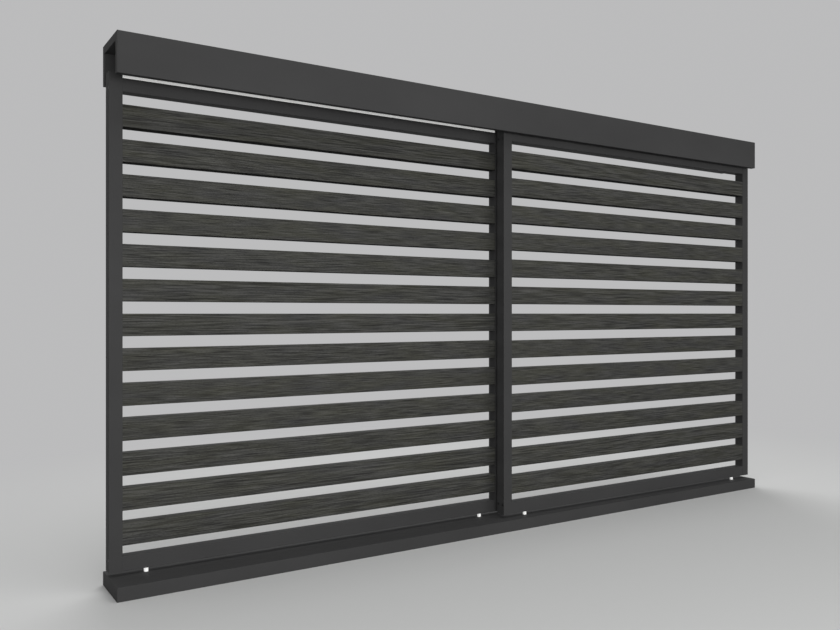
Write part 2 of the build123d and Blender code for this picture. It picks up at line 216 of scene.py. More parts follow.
class HangerSettings(bpy.types.PropertyGroup):
    """Sizes of the hangers, their nuts and their wheels."""

    stem: length("Stem radius", "Radius of a hanger's threaded stem", 4.0 * MM)
    neck: length("Neck", "Height of the plain neck under a hanger's eye", 4.0 * MM)
    nut_flats: length("Nut flats", "Distance across a lock nut's flats", NUT_FLATS)
    nut_height: length("Nut height", "Height of a lock nut", 6.5 * MM)
    nut_bevel: length("Nut bevel", "Height of the bevel on a lock nut's corners", 0.7 * MM)
    nut_lead: length("Nut lead-in", "Bevel at each end of a lock nut's bore", 0.5 * MM)
    nut_play: length("Nut play", "Gap between a lock nut's bore and its stem", 0.05 * MM)
    wheel: length("Wheel radius", "Radius of a wheel's tread", WHEEL_RADIUS)
    wheel_width: length("Wheel width", "Width of a wheel from face to face", 9.0 * MM)
    wheel_bevel: length("Wheel bevel", "Bevel at each edge of the tread", 0.8 * MM)
    rim: length("Rim", "Width of the rim round a wheel's sunk shield", 4.2 * MM)
    shield: length("Shield depth", "How far a bearing's shield lies behind the rim", 0.5 * MM)
    collar: length("Collar", "Width of the ring between axle and shield", 1.4 * MM)
    hub: length("Hub radius", "Radius of the hub on a wheel's inner side", 6.0 * MM)
    hub_height: length("Hub height", "How far the hub stands out from its wheel", 2.0 * MM)
    axle: length("Axle radius", "Radius of an axle", 3.0 * MM)
    axle_end: length("Axle end", "How far the axle stands out of a wheel", 1.0 * MM)
    axle_bevel: length("Axle bevel", "Bevel at each end of an axle", 0.5 * MM)


class StageSettings(bpy.types.PropertyGroup):
    """Floor, backdrop, lights and camera."""

    floor: tone("Floor", "Plain floor", (0.62, 0.625, 0.62))
    floor_roughness: share("Floor roughness", "How matt the floor is", 0.8)
    backdrop: tone("Backdrop", "Plain backdrop behind everything", (0.50, 0.50, 0.505))
    bounce: tone("Floor bounce", "What the floor throws back on the object", (0.06, 0.06, 0.06))
    fade_start: length("Fade start", "Distance at which the floor starts to fade", 1.1)
    fade_end: length("Fade end", "Distance at which the floor has the backdrop's tone", 2.7)
    sky: FloatProperty(name="Sky", description="Strength of the light from all round",
                       default=0.34, min=0.0)
    key: power("Key lamp", "Power of the low lamp behind the camera", 68.0)
    front: power("Front lamp", "Power of the wide low lamp at the front, to the right", 70.0)
    top: power("Top lamp", "Power of the lamp overhead", 70.0)
    back: power("Back lamp", "Power of the high lamp behind the shutter", 120.0)
    aim: length("Lamp aim", "Height of the point that all lamps face", 0.8)
    eye: FloatVectorProperty(name="Camera", description="Where the camera stands", size=3,
                             default=(-1.918, -2.445, 0.792), subtype="TRANSLATION")
    turn: FloatProperty(name="Camera turn", description="Camera's turn away from straight back",
                        default=math.radians(-32.585), subtype="ANGLE")
    lens: FloatProperty(name="Lens", description="Focal length in millimetres", default=35.54,
                        min=1.0)
    sensor: FloatProperty(name="Sensor", description="Width of the sensor in millimetres",
                          default=36.0, min=1.0)
    rise: FloatProperty(name="Shift", description="Upward shift of the lens", default=-0.002)


class ShutterSettings(bpy.types.PropertyGroup):
    """Everything that a user would change on the shutter."""

    finish: PointerProperty(type=FinishSettings, name="Finish", description="Colours and textures")
    slats: PointerProperty(type=SlatSettings, name="Slats", description="Slat sizes")
    screws: PointerProperty(type=ScrewSettings, name="Screws", description="Screw sizes")
    hangers: PointerProperty(type=HangerSettings, name="Hangers",
                             description="Sizes of hangers, nuts and wheels")
    stage: PointerProperty(type=StageSettings, name="Stage", description="Studio")


# Small helpers for node trees

def put(tree, kind, **fields):
    """Add a node and set its own fields."""
    node = tree.nodes.new(kind)
    for field, value in fields.items():
        setattr(node, field, value)
    return node


def is_socket(value):
    """Whether a value is a node's socket and not a plain number or colour."""
    return isinstance(value, bpy.types.NodeSocket)


def feed(tree, socket, value):
    """Link a socket to another one, or give it a plain value."""
    if is_socket(value):
        tree.links.new(value, socket)
    else:
        socket.default_value = value


def sum_up(tree, operation, *values):
    """The result of one sum on values or sockets."""
    node = put(tree, "ShaderNodeMath", operation=operation)
    for socket, value in zip(node.inputs, values):
        feed(tree, socket, value)
    return node.outputs["Value"]


def spread(tree, value, low, high, to_low=0.0, to_high=1.0):
    """Map a value from one range to another and keep it inside."""
    node = put(tree, "ShaderNodeMapRange")
    tree.links.new(value, node.inputs["Value"])
    node.inputs["From Min"].default_value = low
    node.inputs["From Max"].default_value = high
    node.inputs["To Min"].default_value = to_low
    node.inputs["To Max"].default_value = to_high
    return node.outputs["Result"]


def vector_from(tree, **parts):
    """A vector from the sockets for X, Y and Z; a part that isn't given is 0."""
    node = put(tree, "ShaderNodeCombineXYZ")
    for axis, value in parts.items():
        tree.links.new(value, node.inputs[axis])
    return node.outputs["Vector"]


def height_of(tree, vector):
    """The Z part of a vector."""
    node = put(tree, "ShaderNodeSeparateXYZ")
    tree.links.new(vector, node.inputs["Vector"])
    return node.outputs["Z"]


def moved_by(tree, vector, step):
    """A vector plus another one, which is a socket or three numbers."""
    node = put(tree, "ShaderNodeVectorMath", operation="ADD")
    tree.links.new(vector, node.inputs[0])
    feed(tree, node.inputs[1], step)
    return node.outputs["Vector"]


def scaled_by(tree, vector, factor):
    """A vector or colour times a factor."""
    node = put(tree, "ShaderNodeVectorMath", operation="SCALE")
    tree.links.new(vector, node.inputs[0])
    tree.links.new(factor, node.inputs["Scale"])
    return node.outputs["Vector"]


def blend_colour(tree, factor, first, second):
    """Mix two colours, each a socket or an RGB triple."""
    node = put(tree, "ShaderNodeMix", data_type="RGBA")
    tree.links.new(factor, node.inputs["Factor"])
    for index, colour in ((COLOUR_FIRST, first), (COLOUR_SECOND, second)):
        feed(tree, node.inputs[index], colour if is_socket(colour) else (*colour, 1.0))
    return node.outputs[COLOUR_RESULT]


def blend_shader(tree, factor, first, second):
    """Mix two shaders."""
    node = put(tree, "ShaderNodeMixShader")
    tree.links.new(factor, node.inputs["Fac"])
    tree.links.new(first, node.inputs[SHADER_FIRST])
    tree.links.new(second, node.inputs[SHADER_SECOND])
    return node.outputs["Shader"]


def stretched_noise(tree, place, scale, detail):
    """Noise with that many grains to the metre on each axis."""
    mapping = put(tree, "ShaderNodeMapping")
    mapping.inputs["Scale"].default_value = scale
    tree.links.new(place, mapping.inputs["Vector"])
    noise = put(tree, "ShaderNodeTexNoise")
    tree.links.new(mapping.outputs["Vector"], noise.inputs["Vector"])
    noise.inputs["Scale"].default_value = 1.0
    noise.inputs["Detail"].default_value = detail
    return noise.outputs["Fac"]


def even_noise(tree, place, scale, detail):
    """Noise with the same number of grains to the metre on all axes."""
    return stretched_noise(tree, place, (scale, scale, scale), detail)


def seen(tree):
    """1 where the camera sees a surface, straight, mirrored or through glass."""
    path = put(tree, "ShaderNodeLightPath").outputs
    mirrored = sum_up(tree, "MAXIMUM", path["Is Glossy Ray"], path["Is Transmission Ray"])
    return sum_up(tree, "MAXIMUM", path["Is Camera Ray"], mirrored)


# Parts of a finish

def new_finish(name):
    """A fresh material with its tree, its shader and the place on the piece."""
    material = bpy.data.materials.new(name)
    material.use_nodes = True
    tree = material.node_tree
    shader = tree.nodes["Principled BSDF"]
    place = put(tree, "ShaderNodeTexCoord").outputs["Object"]
    return material, tree, shader, place


def varied_tone(tree, pattern, colour, darkest, lightest, high=NOISE_HIGH):
    """A colour that a pattern takes from its darkest to its lightest share."""
    dark = tuple(darkest * part for part in colour)
    light = tuple(lightest * part for part in colour)
    return blend_colour(tree, spread(tree, pattern, NOISE_LOW, high), dark, light)


def vary_roughness(tree, shader, pattern, low, high):
    """Let the roughness follow a pattern."""
    tree.links.new(spread(tree, pattern, NOISE_LOW, NOISE_HIGH, low, high),
                   shader.inputs["Roughness"])


def relief(tree, shader, height, depth):
    """Let a height pattern of that depth in metres shape the surface."""
    bump = put(tree, "ShaderNodeBump")
    bump.inputs["Distance"].default_value = depth
    bump.inputs["Strength"].default_value = 1.0
    tree.links.new(height, bump.inputs["Height"])
    tree.links.new(bump.outputs["Normal"], shader.inputs["Normal"])


# Finishes

def powder_coat(settings):
    """Fine matt powder coat: small pimples, faint clouds and a soft sheen."""
    material, tree, shader, place = new_finish("Anthracite powder coat")
    pimples = even_noise(tree, place, 1.0 / settings.coat_pimple, detail=1.0)
    clouds = stretched_noise(tree, place, scale=(3.0, 3.0, 5.0), detail=3.0)
    colour = varied_tone(tree, clouds, settings.coat, darkest=0.93, lightest=1.07)
    speck = spread(tree, pimples, 0.35, 0.75, to_low=0.94, to_high=1.06)
    tree.links.new(scaled_by(tree, colour, speck), shader.inputs["Base Color"])
    rough = settings.coat_roughness
    vary_roughness(tree, shader, pimples, low=rough - 0.05, high=rough + 0.06)
    shader.inputs["Specular IOR Level"].default_value = settings.coat_gloss
    relief(tree, shader, pimples, depth=0.04 * MM)
    return material


def own_place(tree, place):
    """The place on a slat, moved so that no two slats have the same grain."""
    number = put(tree, "ShaderNodeAttribute", attribute_name="slat_number").outputs["Fac"]
    along = sum_up(tree, "MULTIPLY", number, SHIFT_ALONG)
    across = sum_up(tree, "MULTIPLY", number, SHIFT_ACROSS)
    return moved_by(tree, place, vector_from(tree, X=along, Y=across))


def grain_lines(tree, spot, settings, scale):
    """Thin straight lines: a noise less the same noise one line's height away."""
    step = (0.0, settings.grain_width, settings.grain_width)
    here = stretched_noise(tree, spot, scale, detail=1.0)
    above = stretched_noise(tree, moved_by(tree, spot, step), scale, detail=1.0)
    return sum_up(tree, "ADD", sum_up(tree, "SUBTRACT", here, above), NOISE_MIDDLE)


def stained_wood(settings):
    """Dark stained timber: grey and olive patches, grain lines, pale flecks, and painted shade on the
    undersides.
    """
    material, tree, shader, place = new_finish("Dark stained timber")
    spot = own_place(tree, place)
    patch = 1.0 / settings.figure_width
    figure = stretched_noise(tree, spot, (1.0 / settings.figure_run, patch, patch), detail=2.0)
    across = 1.0 / settings.grain_width
    along = 1.0 / settings.grain_run
    lines = grain_lines(tree, spot, settings, (along, across, across))
    pore_scale = (PORES_ALONG * along, PORES_ACROSS * across, PORES_ACROSS * across)
    pores = stretched_noise(tree, spot, pore_scale, detail=1.0)

    # Flecks lie where the line pattern is high, dark lines where it is low.
    colour = blend_colour(tree, spread(tree, figure, NOISE_LOW, NOISE_HIGH), settings.stain_grey,
                          settings.stain_olive)
    fleck = spread(tree, lines, 0.50, 0.85, 0.0, settings.fleck_strength)
    colour = blend_colour(tree, fleck, colour, settings.stain_pale)
    line = spread(tree, lines, 0.18, 0.52, settings.line_strength, 0.0)
    colour = blend_colour(tree, line, colour, settings.stain_dark)
    pore = spread(tree, pores, 0.30, 0.45, settings.pore_strength, 0.0)
    colour = blend_colour(tree, pore, colour, settings.stain_dark)

    # Painted shade: faces that point down take a darker colour, standing in for the shade under each
    # slat, and are made fully rough.
    upward = height_of(tree, put(tree, "ShaderNodeNewGeometry").outputs["True Normal"])
    shade = spread(tree, upward, FACING_DOWN, FACING_ASIDE, settings.underside_painted_shade, 1.0)
    tree.links.new(scaled_by(tree, colour, shade), shader.inputs["Base Color"])
    dull = spread(tree, upward, FACING_DOWN, FACING_ASIDE, to_low=1.0, to_high=0.0)
    sheen = spread(tree, lines, NOISE_LOW, NOISE_HIGH, to_low=0.78, to_high=0.60)
    tree.links.new(sum_up(tree, "MAXIMUM", sheen, dull), shader.inputs["Roughness"])
    shader.inputs["Specular IOR Level"].default_value = settings.stain_gloss
    relief(tree, shader, lines, depth=0.30 * MM)
    return material


def white_nylon(settings):
    """White nylon with a faint moulded texture and a painted glow that keeps it bright in shade."""
    material, tree, shader, place = new_finish("White nylon")
    grain = even_noise(tree, place, scale=700.0, detail=1.0)
    clouds = even_noise(tree, place, scale=40.0, detail=2.0)
    colour = varied_tone(tree, clouds, settings.nylon, darkest=0.94, lightest=1.0)
    tree.links.new(colour, shader.inputs["Base Color"])
    # Painted light: the nylon's colour also glows, so it stays bright in shade though it is no lamp.
    tree.links.new(colour, shader.inputs["Emission Color"])
    shader.inputs["Emission Strength"].default_value = settings.nylon_painted_glow
    vary_roughness(tree, shader, grain, low=0.36, high=0.46)
    relief(tree, shader, grain, depth=0.02 * MM)
    return material


def moulded_black(name, colour, grain_size, rough):
    """Black plastic or rubber with a fine mould grain."""
    material, tree, shader, place = new_finish(name)
    grain = even_noise(tree, place, 1.0 / grain_size, detail=2.0)
    tree.links.new(varied_tone(tree, grain, colour, darkest=1.0, lightest=1.5, high=0.8),
                   shader.inputs["Base Color"])
    vary_roughness(tree, shader, grain, low=rough - 0.08, high=rough + 0.08)
    relief(tree, shader, grain, depth=0.03 * MM)
    return material


def bare_metal(tree, shader, place, colour, marks, rough):
    """Metal with faint clouds, whose sheen follows its tool marks."""
    clouds = even_noise(tree, place, scale=60.0, detail=2.0)
    tree.links.new(varied_tone(tree, clouds, colour, darkest=0.8, lightest=1.0),
                   shader.inputs["Base Color"])
    shader.inputs["Metallic"].default_value = 1.0
    vary_roughness(tree, shader, marks, low=rough - 0.08, high=rough + 0.1)


def drawn_metal(name, colour, lines, rough):
    """Bare metal with fine tool or drawing lines; lines gives their closeness on each axis."""
    material, tree, shader, place = new_finish(name)
    marks = stretched_noise(tree, place, lines, detail=2.0)
    bare_metal(tree, shader, place, colour, marks, rough)
    relief(tree, shader, marks, depth=0.01 * MM)
    return material


def threaded_zinc(settings, neck):
    """Zinc plate whose height carries the turns of a screw thread, for a hanger's stem."""
    material, tree, shader, place = new_finish("Zinc plated thread")
    marks = even_noise(tree, place, scale=300.0, detail=2.0)
    bare_metal(tree, shader, place, settings.zinc, marks, rough=0.36)
    height = height_of(tree, place)
    turns = sum_up(tree, "MULTIPLY", height, math.tau / settings.thread_pitch)
    on_stem = sum_up(tree, "LESS_THAN", height, stem_top(neck))
    thread = sum_up(tree, "MULTIPLY", sum_up(tree, "SINE", turns), on_stem)
    relief(tree, shader, thread, depth=0.25 * MM)
    return material


def stem_top(neck):
    """Height at which a hanger's thread ends, under the neck of its eye."""
    low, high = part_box("rear_hanger_left")
    eye = high.x - low.x
    return high.z - eye - neck


def dress(nodes, material):
    """Give a finish to CAD nodes."""
    for name in nodes:
        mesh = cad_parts[name].data
        mesh.materials.clear()
        mesh.materials.append(material)


# Meshes

def ring_point(radius, angle, sides):
    """A point on a circle, or on a regular polygon with that distance to its sides."""
    if sides:
        part = math.tau / sides
        radius = radius / math.cos(angle % part - part / 2)
    return radius * math.cos(angle), radius * math.sin(angle)


def turned(name, rings, steps=24, ring_closed=False):
    """A mesh of rings along Z, each (radius, height, sides): closed at its ends, or a hollow ring."""
    shape = bmesh.new()
    rows = []
    for radius, height, sides in rings:
        row = []
        for step in range(steps):
            x, y = ring_point(radius, math.tau * step / steps, sides)
            row.append(shape.verts.new((x, y, height)))
        rows.append(row)
    pairs = list(zip(rows, rows[1:]))
    if ring_closed:
        pairs.append((rows[-1], rows[0]))
    else:
        shape.faces.new(rows[0])
        shape.faces.new(rows[-1])
    for lower, upper in pairs:
        for step in range(steps):
            after = (step + 1) % steps
            shape.faces.new((lower[step], lower[after], upper[after], upper[step]))
    bmesh.ops.recalc_face_normals(shape, faces=shape.faces)
    mesh = bpy.data.meshes.new(name)
    shape.to_mesh(mesh)
    shape.free()
    return mesh


def screw_mesh(name, sizes, head, reach, point, tip):
    """A screw with a hexagon socket; head is its outline from the top to the shank."""
    socket = sizes.socket / 2
    top = head[0][1]
    return turned(name, (
        (socket, top - sizes.socket_depth, HEXAGON), (socket, top, HEXAGON),
        *((radius, height, ROUND) for radius, height in head),
        (sizes.shank, point - reach, ROUND), (tip * sizes.shank, -reach, ROUND),
    ))


def smooth_by_angle(mesh, angle=math.radians(35)):
    """Smooth shading with crisp edges where two faces meet at more than that angle."""
    shape = bmesh.new()
    shape.from_mesh(mesh)
    for face in shape.faces:
        face.smooth = True
    for edge in shape.edges:
        edge.smooth = edge.calc_face_angle(math.pi) < angle
    shape.to_mesh(mesh)
    shape.free()


def show(name, mesh, body, replaced):
    """Put a finished mesh into the scene as a piece that rides on a body."""
    piece = bpy.data.objects.new(name, mesh)
    bpy.context.scene.collection.objects.link(piece)
    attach(piece, body)
    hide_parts(*replaced)
    return piece


# Geometry node trees

def tree_with_inputs(name, sockets):
    """A geometry tree with a mesh in, a mesh out and named inputs."""
    tree = bpy.data.node_groups.new(name, "GeometryNodeTree")
    tree.interface.new_socket("Geometry", in_out="INPUT", socket_type="NodeSocketGeometry")
    tree.interface.new_socket("Geometry", in_out="OUTPUT", socket_type="NodeSocketGeometry")
    for label, kind in sockets:
        tree.interface.new_socket(label, in_out="INPUT", socket_type=f"NodeSocket{kind}")
    return tree, put(tree, "NodeGroupInput"), put(tree, "NodeGroupOutput")


def grow(name, mesh, tree, values):
    """Run a tree on a mesh with these inputs and return the plain mesh that it makes."""
    holder = bpy.data.objects.new(f"{name}_seed", mesh)
    bpy.context.scene.collection.objects.link(holder)
    modifier = holder.modifiers.new("Build", "NODES")
    modifier.node_group = tree
    for item in tree.interface.items_tree:
        if item.in_out == "INPUT" and item.name in values:
            modifier[item.identifier] = values[item.name]
    bpy.context.view_layer.update()
    shown = holder.evaluated_get(bpy.context.evaluated_depsgraph_get())
    result = bpy.data.meshes.new_from_object(shown)
    result.name = name
    holder.modifiers.remove(modifier)
    bpy.data.objects.remove(holder)
    return result


def slat_bar(tree, size, half):
    """One slat's rounded bar along X, from -half to half."""
    link = tree.links.new
    path = put(tree, "GeometryNodeCurvePrimitiveLine")
    for sign, end in ((-1.0, "Start"), (1.0, "End")):
        link(vector_from(tree, X=sum_up(tree, "MULTIPLY", half, sign)), path.inputs[end])
    upright = put(tree, "GeometryNodeSetCurveNormal", mode="Z_UP")
    link(path.outputs["Curve"], upright.inputs["Curve"])
    section = put(tree, "GeometryNodeCurvePrimitiveQuadrilateral")
    link(size["Depth"], section.inputs["Width"])
    link(size["Height"], section.inputs["Height"])
    rounded = put(tree, "GeometryNodeFilletCurve", mode="POLY")
    link(section.outputs["Curve"], rounded.inputs["Curve"])
    link(size["Edge radius"], rounded.inputs["Radius"])
    rounded.inputs["Count"].default_value = EDGE_POINTS
    bar = put(tree, "GeometryNodeCurveToMesh")
    link(upright.outputs["Curve"], bar.inputs["Curve"])
    link(rounded.outputs["Curve"], bar.inputs["Profile Curve"])
    bar.inputs["Fill Caps"].default_value = True
    return bar.outputs["Mesh"]


def slat_tongue(tree, size, half, sign):
    """The thinner block at one end of a slat, on the side of that sign."""
    thinner = sum_up(tree, "MULTIPLY", size["Shoulder"], 2.0)
    block = put(tree, "GeometryNodeMeshCube")
    tree.links.new(vector_from(tree, X=size["Tongue"],
                               Y=sum_up(tree, "SUBTRACT", size["Depth"], thinner),
                               Z=sum_up(tree, "SUBTRACT", size["Height"], thinner)),
                   block.inputs["Size"])
    middle = sum_up(tree, "MULTIPLY_ADD", size["Tongue"], 0.5, half)
    moved = put(tree, "GeometryNodeTransform")
    tree.links.new(block.outputs["Mesh"], moved.inputs["Geometry"])
    tree.links.new(vector_from(tree, X=sum_up(tree, "MULTIPLY", middle, sign)),
                   moved.inputs["Translation"])
    return moved.outputs["Geometry"]


def slat_tree():
    """A stack of slats: rounded bars along X with a thinner tongue at each end."""
    tree, given, result = tree_with_inputs("Slat stack", (
        ("Count", "Int"), ("Pitch", "Float"), ("Length", "Float"), ("Height", "Float"),
        ("Depth", "Float"), ("Edge radius", "Float"), ("Tongue", "Float"), ("Shoulder", "Float"),
        ("Start", "Vector"), ("First number", "Int"), ("Finish", "Material"),
    ))
    link = tree.links.new
    size = given.outputs
    half = sum_up(tree, "MULTIPLY", size["Length"], 0.5)
    joined = put(tree, "GeometryNodeJoinGeometry")
    link(slat_bar(tree, size, half), joined.inputs["Geometry"])
    for sign in (-1.0, 1.0):
        link(slat_tongue(tree, size, half, sign), joined.inputs["Geometry"])

    column = put(tree, "GeometryNodeMeshLine", mode="OFFSET", count_mode="TOTAL")
    link(size["Count"], column.inputs["Count"])
    link(size["Start"], column.inputs["Start Location"])
    link(vector_from(tree, Z=size["Pitch"]), column.inputs["Offset"])
    placed = put(tree, "GeometryNodeInstanceOnPoints")
    link(column.outputs["Mesh"], placed.inputs["Points"])
    link(joined.outputs["Geometry"], placed.inputs["Instance"])
    numbered = put(tree, "GeometryNodeStoreNamedAttribute", data_type="FLOAT", domain="INSTANCE")
    link(placed.outputs["Instances"], numbered.inputs["Geometry"])
    numbered.inputs["Name"].default_value = "slat_number"
    order = put(tree, "GeometryNodeInputIndex").outputs["Index"]
    link(sum_up(tree, "ADD", order, size["First number"]), numbered.inputs["Value"])
    finish_up(tree, numbered.outputs["Geometry"], size["Finish"], result)
    return tree


def scatter_tree():
    """One fitting on every point of a mesh, faced by the point's own turn and spun at random."""
    tree, given, result = tree_with_inputs("Fitting on points", (
        ("Fitting", "Object"), ("Spin", "Float"), ("Seed", "Int"), ("Finish", "Material"),
    ))
    link = tree.links.new
    source = put(tree, "GeometryNodeObjectInfo")
    link(given.outputs["Fitting"], source.inputs["Object"])
    turn = put(tree, "GeometryNodeInputNamedAttribute", data_type="FLOAT_VECTOR")
    turn.inputs["Name"].default_value = "turn"
    facing = put(tree, "FunctionNodeEulerToRotation")
    link(turn.outputs["Attribute"], facing.inputs["Euler"])
    placed = put(tree, "GeometryNodeInstanceOnPoints")
    link(given.outputs["Geometry"], placed.inputs["Points"])
    link(source.outputs["Geometry"], placed.inputs["Instance"])
    link(facing.outputs["Rotation"], placed.inputs["Rotation"])
    angle = put(tree, "FunctionNodeRandomValue", data_type="FLOAT")
    link(given.outputs["Spin"], angle.inputs[NUMBER_MOST])
    link(given.outputs["Seed"], angle.inputs["Seed"])
    spun = put(tree, "GeometryNodeRotateInstances")
    link(placed.outputs["Instances"], spun.inputs["Instances"])
    link(vector_from(tree, Z=angle.outputs[NUMBER_RESULT]), spun.inputs["Rotation"])
    finish_up(tree, spun.outputs["Instances"], given.outputs["Finish"], result)
    return tree


def finish_up(tree, geometry, material, result):
    """End a tree with real geometry and its finish."""
    real = put(tree, "GeometryNodeRealizeInstances")
    tree.links.new(geometry, real.inputs["Geometry"])
    coloured = put(tree, "GeometryNodeSetMaterial")
    tree.links.new(real.outputs["Geometry"], coloured.inputs["Geometry"])
    tree.links.new(material, coloured.inputs["Material"])
    tree.links.new(coloured.outputs["Geometry"], result.inputs["Geometry"])


def scatter(name, fitting, places, material, seed, spin=math.tau):
    """The mesh of one fitting repeated at places, each (point, Euler turn)."""
    points = bpy.data.meshes.new(f"{name}_points")
    points.from_pydata([point for point, turn in places], [], [])
    turns = points.attributes.new("turn", "FLOAT_VECTOR", "POINT")
    for item, (point, turn) in zip(turns.data, places):
        item.vector = turn
    source = bpy.data.objects.new(f"{name}_source", fitting)
    bpy.context.scene.collection.objects.link(source)
    mesh = grow(name, points, scatter_tree(), {
        "Fitting": source, "Spin": spin, "Seed": seed, "Finish": material,
    })
    bpy.data.objects.remove(source)
    smooth_by_angle(mesh)
    return mesh


# Operators

class ShutterStep(bpy.types.Operator):
    """One step in dressing the shutter."""

    bl_idname = "shutter.step"
    bl_label = "Dress"
    bl_options = {"REGISTER", "UNDO"}

    @property
    def settings(self):
        """The scene's shutter settings."""
        return bpy.context.scene.shutter


class SHUTTER_OT_metalwork(ShutterStep):
    """Powder coat on the header, the base rail, the stiles and the rails"""

    bl_idname = "shutter.metalwork"
    bl_label = "Coat the metalwork"

    def execute(self, context):
        names = ["header_channel", "header_end_caps", "base_rail", "base_end_caps"]
        for panel in PANELS:
            names += [f"{panel}_stile_left", f"{panel}_stile_right"]
            names += [f"{panel}_top_rail", f"{panel}_bottom_rail"]
        dress(names, powder_coat(self.settings.finish))
        return {"FINISHED"}


class SHUTTER_OT_slats(ShutterStep):
    """Both panels' stained timber slats"""

    bl_idname = "shutter.slats"
    bl_label = "Build the slats"

    def execute(self, context):
        sizes = self.settings.slats
        timber = stained_wood(self.settings.finish)
        tree = slat_tree()
        for order, panel in enumerate(PANELS):
            low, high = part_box(f"{panel}_slat_01")
            names = [f"{panel}_slat_{number + 1:02d}" for number in range(sizes.count)]
            mesh = grow(f"{panel}_slats", bpy.data.meshes.new("empty"), tree, {
                "Count": sizes.count, "Pitch": sizes.pitch, "Length": sizes.run,
                "Height": sizes.height, "Depth": sizes.depth, "Edge radius": sizes.edge,
                "Tongue": sizes.tongue, "Shoulder": sizes.shoulder,
                "Start": (low + high) / 2, "First number": order * sizes.count,
                "Finish": timber,
            })
            smooth_by_angle(mesh)
            show(f"{panel}_slats", mesh, f"{panel}_panel", names)
        return {"FINISHED"}


class SHUTTER_OT_nylon(ShutterStep):
    """White nylon strips and feet, and the black plates in the stiles' ends"""

    bl_idname = "shutter.nylon"
    bl_label = "Finish the plastic parts"

    def execute(self, context):
        finish = self.settings.finish
        dress([f"{panel}_{part}" for panel in PANELS for part in ("top_strip", "feet")],
              white_nylon(finish))
        dress([f"{panel}_stile_plugs" for panel in PANELS],
              moulded_black("Black moulded plastic", finish.plastic, grain_size=1.0 * MM,
                            rough=0.5))
        return {"FINISHED"}


class SHUTTER_OT_tracks(ShutterStep):
    """Plain aluminium tracks with their rubber stops"""

    bl_idname = "shutter.tracks"
    bl_label = "Finish the tracks"

    def execute(self, context):
        finish = self.settings.finish
        dress(["rear_track", "front_track"],
              drawn_metal("Drawn aluminium", finish.aluminium, lines=(6.0, 900.0, 900.0),
                          rough=0.34))
        dress(["track_stops"],
              moulded_black("Black rubber", finish.rubber, grain_size=1.5 * MM, rough=0.72))
        return {"FINISHED"}


class SHUTTER_OT_track_screws(ShutterStep):
    """Pan head screws that hold the tracks"""

    bl_idname = "shutter.track_screws"
    bl_label = "Fit the track screws"

    def execute(self, context):
        sizes = self.settings.screws
        low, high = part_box("track_screws")
        radius = sizes.head
        head = [(across * radius, up * sizes.pan) for across, up in PAN_OUTLINE]
        screw = screw_mesh("pan_screw", sizes, (*head, (sizes.shank, 0.0)),
                           reach=high.z - low.z - sizes.pan, point=sizes.track_point,
                           tip=BLUNT_TIP)
        seat = low.z + sizes.pan
        span = high.x - low.x - 2 * radius
        places = []
        for lane in (low.y + radius, high.y - radius):
            for order in range(sizes.track_count):
                along = low.x + radius + span * order / (sizes.track_count - 1)
                places.append((Vector((along, lane, seat)), (math.pi, 0.0, 0.0)))
        zinc = drawn_metal("Zinc plate", self.settings.finish.zinc,
                           lines=(300.0, 300.0, 300.0), rough=0.36)
        mesh = scatter("pan_head_screws", screw, places, zinc, TRACK_SCREW_SEED)
        show("pan_head_screws", mesh, "housing", ["track_screws"])
        return {"FINISHED"}


class SHUTTER_OT_corner_screws(ShutterStep):
    """Countersunk screws through the stiles into the rails"""

    bl_idname = "shutter.corner_screws"
    bl_label = "Fit the corner screws"

    def execute(self, context):
        sizes = self.settings.screws
        radius = sizes.head
        stile_low, stile_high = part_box("rear_stile_left")
        head = (((1.0 - HEAD_BEVEL) * radius, 0.0), (radius, -HEAD_BEVEL * radius),
                (sizes.shank, -sizes.sink))
        screw = screw_mesh("sunk_screw", sizes, head,
                           reach=stile_high.x - stile_low.x + sizes.grip,
                           point=sizes.corner_point, tip=FINE_TIP)
        black = drawn_metal("Blackened steel", self.settings.finish.black_steel,
                            lines=(400.0, 400.0, 400.0), rough=0.42)
        for seed, panel in enumerate(PANELS):
            low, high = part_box(f"{panel}_corner_screws")
            places = []
            for x, turn in ((low.x, -math.pi / 2), (high.x, math.pi / 2)):
                for y in (low.y + radius, high.y - radius):
                    for z in (low.z + radius, high.z - radius):
                        places.append((Vector((x, y, z)), (0.0, turn, 0.0)))
            mesh = scatter(f"{panel}_sunk_screws", screw, places, black, seed)
            show(f"{panel}_sunk_screws", mesh, f"{panel}_panel",
                 [f"{panel}_corner_screws"])
        return {"FINISHED"}


